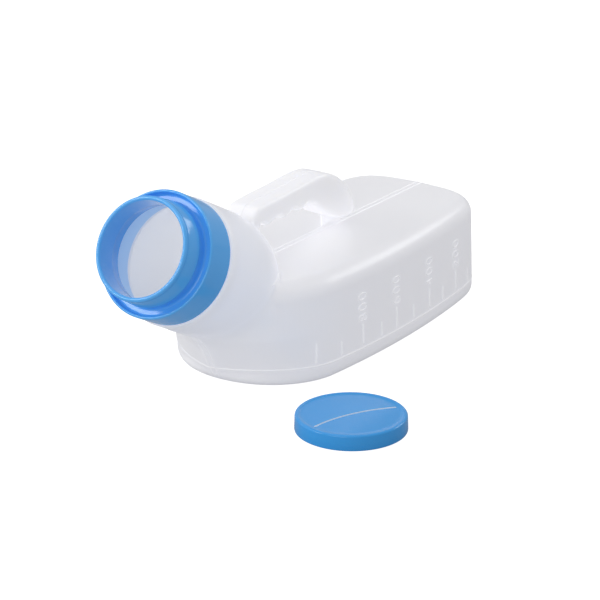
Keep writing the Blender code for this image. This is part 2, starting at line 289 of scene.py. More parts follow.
def through(points, parts):
    """A closed outline made smooth: a Catmull-Rom curve through its points."""
    count = len(points)
    smooth = []
    for i in range(count):
        a, b, c, d = (np.array(points[(i + k) % count]) for k in (-1, 0, 1, 2))
        for step in range(parts):
            t = step / parts
            smooth.append(0.5 * (2 * b + (c - a) * t + (2 * a - 5 * b + 4 * c - d) * t * t
                                 + (3 * b - a - 3 * c + d) * t**3))
    return np.array(smooth)


def handle_outline():
    """Side view of the handle as (y, z): flat top, bent-down rear end, three finger grooves below."""
    # Front foot on the hood
    points = [(-0.0960, 0.0770), (-0.0950, 0.0830), (-0.0890, 0.0870), (-0.0835, 0.0890)]
    points += [(-0.0800, 0.0915), (-0.0778, 0.0942), (-0.0750, 0.0957)]
    # Top, then the rear end bent down to the web
    points += [(-0.0600, 0.0965), (-0.0360, 0.0976), (-0.0180, 0.0986), (-0.0080, 0.0974)]
    points += [(0.0000, 0.0943), (0.0075, 0.0890), (0.0135, 0.0822), (0.0175, 0.0762), (0.0193, 0.0715)]
    points += [(0.0188, 0.0680), (0.0160, 0.0662), (0.0090, 0.0662), (0.0020, 0.0680)]
    # Underside, with its grooves from the rear to the front
    points += [(-0.0060, 0.0718), (-0.0140, 0.0770), (-0.0210, 0.0822)]
    for i in range(19):
        along = 1 - i / 18
        points.append((GRIP_FIRST_Y + 3 * GRIP_PITCH * along, GRIP_Z + GRIP_DEPTH * cos(6 * pi * along)))
    points += [(-0.0768, 0.0800), (-0.0790, 0.0740), (-0.0880, 0.0700)]
    return through(points, 2)


def neck_outline():
    """Half section of neck and hood as (radius, depth behind the lip)."""
    points = [(NECK_R, -0.05), (NECK_R, DOME_FROM)]
    for i in range(1, 30):
        share = sin(0.5 * pi * i / 30)
        radius = NECK_R * (1 - share**DOME_POWER) ** (1 / DOME_POWER)
        points.append((radius, DOME_FROM + DOME_LENGTH * share))
    points.append((0.0, DOME_FROM + DOME_LENGTH))
    return np.array(points)


HANDLE_OUTLINE = handle_outline()
NECK_OUTLINE = neck_outline()


# ---------------------------------------------------------------- distance to the bottle's skin

def line_distance(a, b, starts, ends):
    """Signed distance in a plane to a chain of straight lines, inside where an odd number lie beyond."""
    nearest = np.full(len(a), 1.0)
    inside = np.zeros(len(a), bool)
    for (start_a, start_b), (end_a, end_b) in zip(starts, ends):
        run_a, run_b = end_a - start_a, end_b - start_b
        to_a, to_b = a - start_a, b - start_b
        share = np.clip((to_a * run_a + to_b * run_b) / (run_a * run_a + run_b * run_b), 0.0, 1.0)
        gap_a, gap_b = to_a - share * run_a, to_b - share * run_b
        nearest = np.minimum(nearest, gap_a * gap_a + gap_b * gap_b)
        spans = (start_b > b) != (end_b > b)
        side = (to_a * run_b - to_b * run_a) * np.sign(run_b)
        inside ^= spans & (side < 0)
    return np.where(inside, -1.0, 1.0) * np.sqrt(nearest)


def plan_distance(x, y, z):
    """Distance to the body's plan at each point's own height."""
    level = np.clip(np.searchsorted(OUTLINE_LEVELS, z) - 1, 0, len(OUTLINE_LEVELS) - 2)
    share = ((z - OUTLINE_LEVELS[level]) / (OUTLINE_LEVELS[level + 1] - OUTLINE_LEVELS[level]))[:, None]
    corners = [(1 - share) * OUTLINES[level, i] + share * OUTLINES[level + 1, i]
               for i in range(OUTLINES.shape[1])]
    pairs = [(corner[:, 0], corner[:, 1]) for corner in corners]
    return line_distance(np.abs(x), y, pairs[:-1], pairs[1:])


def rounded(a, b, radius):
    """Where two half-spaces meet, with the edge rounded."""
    past_a, past_b = a + radius, b + radius
    outside = np.hypot(np.maximum(past_a, 0.0), np.maximum(past_b, 0.0))
    return outside + np.minimum(np.maximum(past_a, past_b), 0.0) - radius


def blended(a, b, fillet):
    """Two solids joined with a fillet between them."""
    near = np.maximum(fillet - np.abs(a - b), 0.0) / fillet
    return np.minimum(a, b) - near * near * fillet * 0.25


def hollow_distance(points):
    """Distance to the body with its neck and hood, the parts that are hollow right through."""
    x, y, z = points[:, 0], points[:, 1], points[:, 2]
    plan = plan_distance(x, y, z)
    deck = RIDGE_Z - (RIDGE_Z - DECK_EDGE_Z) * np.minimum(np.abs(x) / RIDGE_HALF_WIDTH, 1.0)
    body = np.maximum(rounded(plan, -z, BASE_RADIUS), rounded(plan, z - deck, SHOULDER_RADIUS))
    from_lip = points - np.array(LIP_CENTRE)
    depth = from_lip @ np.array(INWARD)
    radius = np.hypot(x, from_lip @ np.array(ACROSS))
    neck = line_distance(radius, depth, NECK_OUTLINE[:-1], NECK_OUTLINE[1:])
    lower = np.clip((FILLET_Z[0] - z) / (FILLET_Z[0] - FILLET_Z[1]), 0.0, 1.0)
    fillet = HOOD_FILLET[0] + (HOOD_FILLET[1] - HOOD_FILLET[0]) * lower * lower * (3 - 2 * lower)
    return blended(body, neck, fillet)


def skin_distance(points):
    """Distance to the whole bottle, handle and web too."""
    x, y, z = points[:, 0], points[:, 1], points[:, 2]
    side = line_distance(y, z, HANDLE_OUTLINE, np.roll(HANDLE_OUTLINE, -1, axis=0))
    handle = rounded(side, np.abs(x) - HANDLE_HALF_WIDTH, HANDLE_EDGE)
    web_y = np.abs(y - 0.5 * sum(WEB_Y)) - 0.5 * (WEB_Y[1] - WEB_Y[0])
    web_z = np.abs(z - 0.5 * sum(WEB_Z)) - 0.5 * (WEB_Z[1] - WEB_Z[0])
    web = rounded(np.maximum(web_y, web_z), np.abs(x) - WEB_HALF, WEB_EDGE)
    return blended(blended(hollow_distance(points), handle, HANDLE_FILLET), web, WEB_FILLET)


def in_batches(points, distance=skin_distance, size=60000):
    """The distance at many points, a batch at a time to keep memory small."""
    return np.concatenate([distance(points[i:i + size]) for i in range(0, len(points), size)])


def normals_at(points, reach, distance=skin_distance):
    """Unit normals of the surface near points, from the distance at four corners round each of them."""
    ways = np.array(((1, -1, -1), (-1, -1, 1), (-1, 1, -1), (1, 1, 1)))
    normal = sum(way * in_batches(points + reach * way, distance)[:, None] for way in ways)
    return normal / np.linalg.norm(normal, axis=1)[:, None]


# ---------------------------------------------------------------- a mesh of that skin

def sampled(step, level, distance):
    """The distance on a grid that is symmetric about X = 0, with the grid's first corner."""
    counts = [int(np.ceil(0.5 * (BODY_HIGH.x - BODY_LOW.x) / step)) + 2]
    lows = [0.5 * step]
    for low, high in ((GRID_FRONT_Y, BODY_HIGH.y), (BODY_LOW.z, BODY_HIGH.z)):
        counts.append(int(np.ceil((high - low) / step)) + 6)
        lows.append(low - 2.6 * step)
    axes = [low + step * np.arange(count) for low, count in zip(lows, counts)]
    grid = np.stack(np.meshgrid(*axes, indexing="ij"), axis=-1).reshape(-1, 3)
    half = (in_batches(grid, distance) - level).reshape(counts)
    return np.concatenate([half[::-1], half]), np.array((lows[0] - counts[0] * step, lows[1], lows[2]))


def surface_net(field, low, step):
    """Vertices and quads of a field's zero surface, one vertex in each grid cell that it crosses."""
    inside = field < 0
    shape = [n - 1 for n in field.shape]

    def corner(values, i, j, k):
        return values[i:i + shape[0], j:j + shape[1], k:k + shape[2]]

    corners = [(i, j, k) for i in (0, 1) for j in (0, 1) for k in (0, 1)]
    filled = sum(corner(inside, *c).astype(int) for c in corners)
    crossed = (filled > 0) & (filled < 8)
    number = np.full(shape, -1)
    number[crossed] = np.arange(crossed.sum())
    cells = np.argwhere(crossed).astype(float)
    total = np.zeros_like(cells)
    hits = np.zeros(len(cells))
    for start in corners:
        for axis in range(3):
            if start[axis]:
                continue
            end = tuple(v + (n == axis) for n, v in enumerate(start))
            a, b = corner(field, *start)[crossed], corner(field, *end)[crossed]
            cut = (a < 0) != (b < 0)
            share = np.where(cut, a / np.where(a == b, 1.0, a - b), 0.0)
            place = cells + np.array(start)
            place[:, axis] += share
            total[cut] += place[cut]
            hits[cut] += 1
    quads = []
    for axis in range(3):
        u, v = (axis + 1) % 3, (axis + 2) % 3
        take = [slice(1, -1)] * 3
        take[axis] = slice(0, -1)
        after = list(take)
        after[axis] = slice(1, None)
        a, b = inside[tuple(take)], inside[tuple(after)]
        edges = np.argwhere(a != b)
        if not len(edges):
            continue
        leaves = a[a != b]
        base = edges + np.array([0 if n == axis else 1 for n in range(3)])
        around = []
        for shift_u, shift_v in ((1, 1), (0, 1), (0, 0), (1, 0)):
            cell = base.copy()
            cell[:, u] -= shift_u
            cell[:, v] -= shift_v
            around.append(number[cell[:, 0], cell[:, 1], cell[:, 2]])
        quad = np.stack(around, axis=1)
        quad[~leaves] = quad[~leaves][:, ::-1]
        quads.append(quad)
    return low + step * total / hits[:, None], np.concatenate(quads)


def settled(verts, quads, level, step, distance):
    """Vertices evened out along the surface, then moved exactly onto it."""
    neighbours = np.concatenate([quads[:, (i, (i + 1) % 4)] for i in range(4)])
    for _ in range(3):
        total = np.zeros_like(verts)
        hits = np.zeros(len(verts))
        for a, b in ((0, 1), (1, 0)):
            np.add.at(total, neighbours[:, a], verts[neighbours[:, b]])
            np.add.at(hits, neighbours[:, a], 1)
        verts = 0.4 * verts + 0.6 * total / hits[:, None]
    for _ in range(2):
        normal = normals_at(verts, 0.2 * step, distance)
        verts = verts - (in_batches(verts, distance) - level)[:, None] * normal
    return verts


def skin(step, level, distance):
    """Vertices and quads of the surface at a level of the distance."""
    field, low = sampled(step, level, distance)
    verts, quads = surface_net(field, low, step)
    return settled(verts, quads, level, step, distance), quads


def new_object(name, mesh):
    """An object in the scene for a mesh, a light or a camera."""
    obj = bpy.data.objects.new(name, mesh)
    bpy.context.scene.collection.objects.link(obj)
    return obj


def smooth(mesh):
    """Shade every face smooth."""
    for polygon in mesh.polygons:
        polygon.use_smooth = True


def inlet_point(angle, radius, depth):
    """A point round the inlet axis, at a depth behind the lip."""
    return LIP_CENTRE + INWARD * depth + radius * (cos(angle) * Vector((1, 0, 0)) + sin(angle) * ACROSS)


def run_round(work, loop, profile):
    """Rings of faces on from an open edge of the skin, through (radius, depth) points."""
    angles = []
    for vert in loop:
        out = vert.co - LIP_CENTRE
        angles.append(atan2(out.dot(ACROSS), out.x))
    ordered = [vert for _, vert in sorted(zip(angles, loop), key=lambda pair: pair[0])]
    angles.sort()
    faces = []
    before = ordered
    for radius, depth in profile:
        ring = [work.verts.new(inlet_point(angle, radius, depth)) for angle in angles]
        for i in range(len(ring)):
            j = (i + 1) % len(ring)
            faces.append(work.faces.new((before[i], before[j], ring[j], ring[i])))
        before = ring
    return faces


def open_skin(verts, quads):
    """The skin cut square across the neck, as a bmesh, with the open edge's vertices."""
    work = bmesh.new()
    made = [work.verts.new(v) for v in verts]
    for quad in quads:
        work.faces.new([made[i] for i in quad])
    bmesh.ops.bisect_plane(work, geom=work.verts[:] + work.edges[:] + work.faces[:], dist=1e-6,
                           plane_co=LIP_CENTRE + INWARD * SKIN_FROM, plane_no=-INWARD, clear_outer=True)
    loose = [v for v in work.verts if not v.link_faces]
    bmesh.ops.delete(work, geom=loose, context="VERTS")
    rim = [v for v in work.verts if any(len(e.link_faces) == 1 for e in v.link_edges)]
    return work, rim


def arc(centre, radius, start, end, count):
    """Points on an arc, from one angle to another in degrees."""
    angles = [radians(start + (end - start) * i / (count - 1)) for i in range(count)]
    return [(centre[0] + radius * cos(angle), centre[1] + radius * sin(angle)) for angle in angles]


def section_lines(work, x):
    """Where the upright plane at x cuts the outer skin, as chains of points."""
    cut = work.copy()
    made = bmesh.ops.bisect_plane(cut, geom=cut.verts[:] + cut.edges[:] + cut.faces[:], dist=1e-7,
                                  plane_co=(x, 0, 0), plane_no=(1, 0, 0))
    edges = dict.fromkeys(e for e in made["geom_cut"] if isinstance(e, bmesh.types.BMEdge))
    links = {}
    for edge in edges:
        for a, b in (edge.verts, reversed(edge.verts)):
            links.setdefault(a, []).append(b)
    chains = []
    waiting = sorted(links, key=lambda v: (len(links[v]), v.co.y, v.co.z))
    seen = set()
    for start in waiting:
        if start in seen:
            continue
        chain = [start]
        seen.add(start)
        while True:
            onward = [v for v in links[chain[-1]] if v not in seen]
            if not onward:
                break
            chain.append(onward[0])
            seen.add(onward[0])
        if len(chain) > 8:
            chains.append([tuple(v.co) for v in chain])
    cut.free()
    return chains


def runs(chain, keep):
    """The stretches of a chain of points where keep(point) holds."""
    found, run = [], []
    for point in chain + [None]:
        if point is not None and keep(Vector(point)):
            run.append(point)
        else:
            if len(run) > 5:
                found.append(run)
            run = []
    return found


def finish_profile():
    """Outside of the neck from the skin's edge to its front: shoulder, then the finish the ring sits on."""
    profile = [(NECK_R, NECK_SHOULDER + 0.0040), (NECK_R, NECK_SHOULDER + 0.0020)]
    profile += arc((NECK_R - NECK_CORNER, NECK_SHOULDER + NECK_CORNER), NECK_CORNER, 0, -90, 6)
    profile += [(FINISH_R + 0.0003, NECK_SHOULDER), (FINISH_R, NECK_SHOULDER - 0.0003)]
    profile += [(FINISH_R, 0.5 * (NECK_SHOULDER + NECK_FRONT)), (FINISH_R, NECK_FRONT + NECK_EDGE)]
    profile += arc((FINISH_R - NECK_EDGE, NECK_FRONT + NECK_EDGE), NECK_EDGE, 0, -90, 4)
    return profile + [(FINISH_R - 0.0010, NECK_FRONT)]


def bore_profile():
    """Inside of the neck from the lining's edge to its front, where it meets the finish."""
    bore = FINISH_R - NECK_BORE
    profile = [(NECK_R - WALL, NECK_SHOULDER + 0.0062), (FINISH_R - 0.0010, NECK_SHOULDER + 0.0050)]
    profile += [(FINISH_R - 0.0015, NECK_SHOULDER + 0.0035), (bore, NECK_SHOULDER + 0.0020)]
    profile += [(bore, NECK_SHOULDER - 0.0010 - 0.0022 * i) for i in range(5)]
    profile += [(bore, NECK_FRONT + 0.0005), (FINISH_R - 0.0013, NECK_FRONT + 0.0001)]
    return profile + [(FINISH_R - 0.0010, NECK_FRONT)]


def bottle_mesh():
    """Outer skin, inner lining and the neck finish between them, one mesh with three material slots.

    The skin's cuts at the mould's parting plane and beside it come back with it."""
    outer, outer_rim = open_skin(*skin(SKIN_STEP, 0.0, skin_distance))
    parting = section_lines(outer, PARTING_X)
    beside = section_lines(outer, PARTING_BAND)
    run_round(outer, outer_rim, finish_profile())
    inner, inner_rim = open_skin(*skin(LINING_STEP, -WALL, hollow_distance))
    near_ring = run_round(inner, inner_rim, bore_profile())
    bmesh.ops.recalc_face_normals(outer, faces=outer.faces[:])
    bmesh.ops.recalc_face_normals(inner, faces=inner.faces[:])
    for face in outer.faces:
        face.material_index = SKIN_SLOT
    for face in inner.faces:
        face.material_index = LINING_SLOT
    # Painted light: the neck's finish under the ring gets the blue-tinted, blue-glowing material for the
    # collar showing through
    for face in near_ring:
        middle = face.calc_center_median() - LIP_CENTRE
        if middle.dot(INWARD) < NECK_SHOULDER + 0.0015:
            face.material_index = PAINTED_BLUE_SLOT
    toward = inner.faces[0].calc_center_median() + 0.0005 * inner.faces[0].normal
    if hollow_distance(np.array([toward]))[0] > -WALL:
        bmesh.ops.reverse_faces(inner, faces=inner.faces[:])
    mesh = bpy.data.meshes.new("bottle_skin")
    outer.to_mesh(mesh)
    lining = bpy.data.meshes.new("lining")
    inner.to_mesh(lining)
    both = bmesh.new()
    both.from_mesh(mesh)
    both.from_mesh(lining)
    bmesh.ops.remove_doubles(both, verts=both.verts[:], dist=1e-6)
    both.to_mesh(mesh)
    smooth(mesh)
    for work in (outer, inner, both):
        work.free()
    bpy.data.meshes.remove(lining)
    return mesh, parting, beside


# ---------------------------------------------------------------- raised lines on the wall

def raised_lines(name, lines, half, proud):
    """Low rounded ridges along lines near the skin: (points, closed) each."""
    placed = []
    for points, closed in lines:
        points = np.array(points)
        for _ in range(2):
            points = points - in_batches(points)[:, None] * normals_at(points, NORMAL_REACH)
        placed.append((points, normals_at(points, NORMAL_REACH), closed))
    return ridges(name, placed, half, proud)


def ridges(name, lines, half, proud):
    """Low rounded ridges along lines on a surface: (points, normals, closed) each, ends tapered."""
    verts, faces = [], []
    section = [(s / 3, cos(0.5 * pi * s / 3)) for s in range(-3, 4)]
    for points, normals, closed in lines:
        count = len(points)
        first = len(verts)
        for i in range(count):
            before = points[i - 1] if closed or i else points[i]
            after = points[(i + 1) % count] if closed or i < count - 1 else points[i]
            along = (after - before) / max(np.linalg.norm(after - before), 1e-9)
            across = np.cross(normals[i], along)
            end = 1.0 if closed or 0 < i < count - 1 else 0.001
            for side, lift in section:
                height = -SINK + (proud + SINK) * lift * end
                verts.append(points[i] + side * half * across * (0.4 + 0.6 * end) + height * normals[i])
        wide = len(section)
        for i in range(count if closed else count - 1):
            j = (i + 1) % count
            for k in range(wide - 1):
                a, b = first + i * wide + k, first + j * wide + k
                faces.append((a, a + 1, b + 1, b))
    mesh = bpy.data.meshes.new(name)
    mesh.from_pydata([tuple(v) for v in verts], [], faces)
    smooth(mesh)
    return new_object(name, mesh)


def on_wall(y, z):
    """The point of the marked side wall at a station and a height."""
    return (wall_x(y, z), y, z)


def parting_lines(parting, beside):
    """The parting line behind the ring and above the base, and the lines beside it on bow and deck."""
    def depth(point):
        return (point - LIP_CENTRE).dot(INWARD)

    lines = []
    for chain in parting:
        lines += runs(chain, lambda p: depth(p) > SKIN_FROM + 0.002 and p.z > PARTING_LOW_Z)
    for chain in beside:
        lines += runs(chain, lambda p: PARTING_LOW_Z < p.z < BOW_LINE_TOP_Z and p.y < 0)
        lines += runs(chain, lambda p: DECK_LINE_Z[0] < p.z < DECK_LINE_Z[1] and p.y > DECK_LINE_FROM_Y)
    return [(line, False) for line in lines]


def hood_edge():
    """A line along the hood's foot on the deck, for a low bead."""
    line = []
    for i in range(49):
        x = (i / 24 - 1) * HOOD_BEAD_REACH
        low, high = -0.110, -0.030
        for _ in range(24):
            middle = 0.5 * (low + high)
            out = Vector((x, middle, DECK_EDGE_Z)) - LIP_CENTRE
            radius = sqrt(x * x + out.dot(ACROSS) ** 2)
            past = max(0.0, out.dot(INWARD) - DOME_FROM) / DOME_LENGTH
            inside = past < 1 and radius < NECK_R * (1 - past**DOME_POWER) ** (1 / DOME_POWER)
            low, high = (middle, high) if inside else (low, middle)
        line.append((x, low - 0.0004, DECK_EDGE_Z + 0.0013))
    return [(line, False)]


def base_highlight_line():
    """A painted highlight: a low ridge of the lighter raised material round the body where the base radius
    ends.
    """
    right = [tuple(point) for point in half_outline(BASE_HIGHLIGHT_Z)]
    left = [(-x, y) for x, y in right[-2:0:-1]]
    return [([(x, y, BASE_HIGHLIGHT_Z) for x, y in through(right + left, 3)], True)]


def tick_lines():
    """The ten marks, upright lines in turn long and short."""
    lines = []
    for y, tall in zip(MARK_Y, MARK_LONG):
        top = MARK_Z + (MARK_TALL if tall else MARK_SHORT)
        lines.append(([on_wall(y, MARK_Z + (top - MARK_Z) * i / 12) for i in range(13)], False))
    return lines


def ellipse(centre, wide, tall, start=0.0, end=360.0, count=24):
    """Points on an ellipse in a digit's own box, angles from its right, anticlockwise."""
    points = []
    for i in range(count):
        angle = radians(start + (end - start) * i / (count if abs(end - start) == 360 else count - 1))
        points.append((centre[0] + wide * cos(angle), centre[1] + tall * sin(angle)))
    return points


def straight(*corners):
    """Points along straight lines from corner to corner."""
    points = []
    for a, b in zip(corners, corners[1:]):
        points += [(a[0] + (b[0] - a[0]) * i / 8, a[1] + (b[1] - a[1]) * i / 8) for i in range(8)]
    return points + [corners[-1]]


def digit_strokes(digit):
    """Strokes of a numeral in a box one unit wide and one tall: (points, closed) each."""
    if digit == "0":
        return [(ellipse((0.5, 0.5), 0.42, 0.5), True)]
    if digit == "8":
        return [(ellipse((0.5, 0.75), 0.36, 0.25), True), (ellipse((0.5, 0.26), 0.43, 0.26), True)]
    if digit == "6":
        tail = ellipse((0.92, 0.36), 0.84, 0.66, 180, 100, 12)
        return [(ellipse((0.5, 0.30), 0.42, 0.30), True), (tail, False)]
    if digit == "4":
        return [(straight((0.70, 0.0), (0.70, 1.0), (0.05, 0.30), (0.98, 0.30)), False)]
    hook = ellipse((0.5, 0.72), 0.40, 0.28, 170, -30, 14)
    return [(hook + straight((0.80, 0.52), (0.08, 0.0), (0.95, 0.0)), False)]


def numeral_lines():
    """The volumes: digits run up the wall with their tops toward the neck."""
    lines = []
    for middle_y, text in NUMERALS:
        for place, digit in enumerate(text):
            for stroke, closed in digit_strokes(digit):
                points = []
                for u, v in stroke:
                    z = NUMERAL_Z + place * NUMERAL_PITCH + u * NUMERAL_WIDE
                    y = middle_y - (v - 0.5) * NUMERAL_TALL
                    points.append(on_wall(y, z))
                lines.append((points, closed))
    return lines


# ---------------------------------------------------------------- turned pieces

def turned_mesh(name, profile, matrix, closed, steps=160):
    """Solid of revolution: (radius, height) points swept about local Z."""
    work = bmesh.new()
    verts = [work.verts.new((r, 0.0, z)) for r, z in profile]
    pairs = list(zip(verts, verts[1:])) + ([(verts[-1], verts[0])] if closed else [])
    edges = [work.edges.new(pair) for pair in pairs]
    bmesh.ops.spin(work, geom=verts + edges, cent=(0, 0, 0), axis=(0, 0, 1), dvec=(0, 0, 0),
                   angle=2 * pi, steps=steps, use_merge=True, use_duplicate=False)
    bmesh.ops.remove_doubles(work, verts=work.verts[:], dist=1e-6)
    bmesh.ops.recalc_face_normals(work, faces=work.faces[:])
    work.transform(matrix)
    mesh = bpy.data.meshes.new(name)
    work.to_mesh(mesh)
    work.free()
    smooth(mesh)
    return mesh


def inlet_matrix():
    """Local Z out along the inlet axis, from the lip's centre."""
    return Matrix.Translation(LIP_CENTRE) @ Matrix.Rotation(0.5 * pi - NECK_TILT, 4, "X")


def ring_mesh():
    """Lip, flared band, trough, rim and collar on the outside; socket, throat and bore on the inside."""
    lip = 0.5 * (LIP_R - BORE_R)
    profile = arc((LIP_R - lip, -lip), lip, 90, 0, 9)
    # Shallow groove under the lip, then the flared band down to its rounded edge
    profile += [(LIP_R, -0.0022), (LIP_R - 0.0003, -0.0029), (LIP_R - 0.0002, -0.0034)]
    profile += [(LIP_R + 0.0001, -0.0044), (FLARE_R - 0.0002, -FLARE_END + 0.0016)]
    profile += arc((FLARE_R - 0.0009, -FLARE_END + 0.0004), 0.0009, 20, -80, 7)
    # Trough
    profile += [(TROUGH_R - 0.0002, -FLARE_END - 0.0012), (TROUGH_R - 0.0002, -TROUGH_FLOOR + 0.0022)]
    profile += arc((TROUGH_R + 0.0013, -TROUGH_FLOOR + 0.0015), 0.0015, 180, 270, 8)
    profile += arc((RIM_INNER_R - 0.0015, -TROUGH_FLOOR + 0.0015), 0.0015, 270, 360, 8)
    # Rim and collar
    rim = 0.5 * (RING_R - RIM_INNER_R)
    profile += [(RIM_INNER_R, -RIM_FRONT - rim - 0.0008)]
    profile += arc((RING_R - rim, -RIM_FRONT - rim), rim, 180, 0, 11)
    profile += [(RING_R, -RIM_FRONT - 0.0030), (RING_R, -RING_BACK + 0.0040), (RING_R, -RING_BACK + 0.0007)]
    profile += arc((RING_R - 0.0005, -RING_BACK + 0.0005), 0.0005, -15, -90, 4)
    # Socket over the neck's finish, throat, and the step down to the bore
    socket = FINISH_R + GAP
    profile += [(socket, -RING_BACK), (socket, -NECK_FRONT + GAP)]
    profile += [(THROAT_R + 0.0004, -NECK_FRONT + GAP), (THROAT_R + 0.0001, -NECK_FRONT + GAP + 0.0002)]
    profile += [(THROAT_R, -NECK_FRONT + GAP + 0.0006), (THROAT_R, -BORE_STEP - 0.0014)]
    profile += [(THROAT_R - 0.0002, -BORE_STEP - 0.0010), (BORE_R + 0.0005, -BORE_STEP - 0.0007)]
    profile += [(BORE_R + 0.0001, -BORE_STEP - 0.0004), (BORE_R, -BORE_STEP + 0.0002)]
    profile += [(BORE_R, -0.0060)]
    profile += arc((BORE_R + lip, -lip), lip, 180, 100, 8)
    return turned_mesh("inlet_ring_turned", profile, inlet_matrix(), True)


def cap_mesh():
    """A shallow dish turned upside down, its face sunk a little inside the edge."""
    top = CAP_HEIGHT
    face = top - CAP_DISH
    # Face, edge and skirt outside, then the hollow
    profile = [((CAP_R - 0.0036) * i / 12, face) for i in range(13)]
    profile += [(CAP_R - 0.0031, face + 0.0001), (CAP_R - 0.0027, top - 0.0001), (CAP_R - 0.0023, top)]
    profile += arc((CAP_R - 0.0014, top - 0.0012), 0.0012, 88, 4, 9)
    profile += [(CAP_R - 0.0001, 0.5 * top), (CAP_R, 0.0006)]
    profile += [(CAP_R - 0.0001, 0.0002), (CAP_R - 0.0004, 0.0)]
    profile += [(CAP_INNER_R + 0.0003, 0.0), (CAP_INNER_R - 0.0003, 0.0012), (CAP_INNER_R, 0.0024)]
    profile += [(CAP_INNER_R - 0.0006, top - CAP_TOP - 0.0010), (CAP_INNER_R - 0.0016, top - CAP_TOP)]
    profile += [(0.0, top - CAP_TOP)]
    mesh = turned_mesh("cap_turned", profile, Matrix.Identity(4), False)
    mesh.transform(Matrix.Translation((CAP_CENTRE.x, CAP_CENTRE.y, 0.0)))
    return mesh


def cap_rib():
    """The curved rib across the cap's face, an arc from rim to rim."""
    points = []
    for i in range(721):
        angle = 2 * pi * i / 720
        x = RIB_CENTRE[0] + RIB_R * cos(angle)
        y = RIB_CENTRE[1] + RIB_R * sin(angle)
        if sqrt(x * x + y * y) < CAP_R - RIB_SHORT:
            points.append((CAP_CENTRE.x + x, CAP_CENTRE.y + y, CAP_HEIGHT - CAP_DISH))
    up = np.tile((0.0, 0.0, 1.0), (len(points), 1))
    return ridges("cap_rib", [(np.array(points), up, False)], RIB_HALF, RIB_PROUD)


# ---------------------------------------------------------------- materials

def node(tree, kind, **settings):
    """A new node, its inputs or its own settings given by name."""
    made = tree.nodes.new(kind)
    for name, value in settings.items():
        if name in made.inputs:
            made.inputs[name].default_value = value
        else:
            setattr(made, name, value)
    return made


def moulded(name, colour, shade, roughness, rough_spread, grain, bump, subsurface=0.0, radius=(0, 0, 0),
            ior=1.49, glow=None, top_shade=None, coat=0.0):
    """Moulded plastic: slow colour variation, uneven gloss, and the mould's fine texture as bump.

    A glow is painted light: a steady emission that stands in for light let through from behind.
    top_shade is a painted shade: the colour the handle's top turns to above TOP_SHADE_Z, for the light
    through its hollow walls."""
    material = bpy.data.materials.new(name)
    material.use_nodes = True
    tree = material.node_tree
    shader = tree.nodes["Principled BSDF"]

    def link(source, output, target, into):
        tree.links.new(source.outputs[output], target.inputs[into])

    shader.inputs["IOR"].default_value = ior
    shader.inputs["Coat Weight"].default_value = coat
    shader.inputs["Coat Roughness"].default_value = COAT_ROUGHNESS
    shader.inputs["Subsurface Weight"].default_value = subsurface
    shader.inputs["Subsurface Radius"].default_value = radius
    shader.inputs["Subsurface Scale"].default_value = 1.0
    # Painted light: the glow is a steady emission in place of light let through the wall
    if glow:
        shader.inputs["Emission Color"].default_value = (*glow, 1.0)
        shader.inputs["Emission Strength"].default_value = 1.0

    place = node(tree, "ShaderNodeTexCoord")
    broad = node(tree, "ShaderNodeTexNoise", Scale=COLOUR_SCALE, Detail=3.0, Roughness=0.5)
    colours = node(tree, "ShaderNodeValToRGB")
    for stop, position, stop_colour in zip(colours.color_ramp.elements, COLOUR_STOPS, (shade, colour)):
        stop.position = position
        stop.color = (*stop_colour, 1.0)
    link(place, "Object", broad, "Vector")
    link(broad, "Fac", colours, "Fac")
    # Painted shade: above TOP_SHADE_Z the colour turns to top_shade, a touch darker and even, for light
    # through the handle's hollow walls
    if top_shade:
        parts = node(tree, "ShaderNodeSeparateXYZ")
        height = node(tree, "ShaderNodeMapRange")
        height.inputs["From Min"].default_value, height.inputs["From Max"].default_value = TOP_SHADE_Z
        top_shaded = node(tree, "ShaderNodeMix", data_type="RGBA")
        top_shaded.inputs["B"].default_value = (*top_shade, 1.0)
        link(place, "Object", parts, "Vector")
        link(parts, "Z", height, "Value")
        link(height, "Result", top_shaded, "Factor")
        link(colours, "Color", top_shaded, "A")
        link(top_shaded, "Result", shader, "Base Color")
    else:
        link(colours, "Color", shader, "Base Color")

    patches = node(tree, "ShaderNodeTexNoise", Scale=GLOSS_SCALE, Detail=4.0, Roughness=0.6)
    gloss = node(tree, "ShaderNodeMapRange")
    gloss.inputs["To Min"].default_value = roughness - rough_spread
    gloss.inputs["To Max"].default_value = roughness + rough_spread
    link(place, "Object", patches, "Vector")
    link(patches, "Fac", gloss, "Value")
    link(gloss, "Result", shader, "Roughness")

    fine = node(tree, "ShaderNodeTexNoise", Scale=grain, Detail=2.0, Roughness=0.5)
    ripple = node(tree, "ShaderNodeTexNoise", Scale=RIPPLE_SCALE, Detail=2.0, Roughness=0.5)
    first = node(tree, "ShaderNodeBump", Strength=bump, Distance=GRAIN_DEPTH)
    second = node(tree, "ShaderNodeBump", Strength=0.5 * bump, Distance=RIPPLE_DEPTH)
    link(place, "Object", fine, "Vector")
    link(place, "Object", ripple, "Vector")
    link(fine, "Fac", first, "Height")
    link(ripple, "Fac", second, "Height")
    link(first, "Normal", second, "Normal")
    link(second, "Normal", shader, "Normal")
    return material


def set_material(obj, *materials):
    """Materials in the order of the mesh's slots."""
    for material in materials:
        obj.data.materials.append(material)


# ---------------------------------------------------------------- stage

def main_camera():
    """A long lens, from the front right and above."""
    data = bpy.data.cameras.new("camera")
    data.lens = CAMERA_LENS
    data.sensor_width = CAMERA_SENSOR
    camera = new_object("camera", data)
    camera.location = CAMERA_PLACE
    aim = Vector(CAMERA_AIM) - camera.location
    camera.rotation_euler = aim.to_track_quat("-Z", "Y").to_euler()
    bpy.context.scene.camera = camera


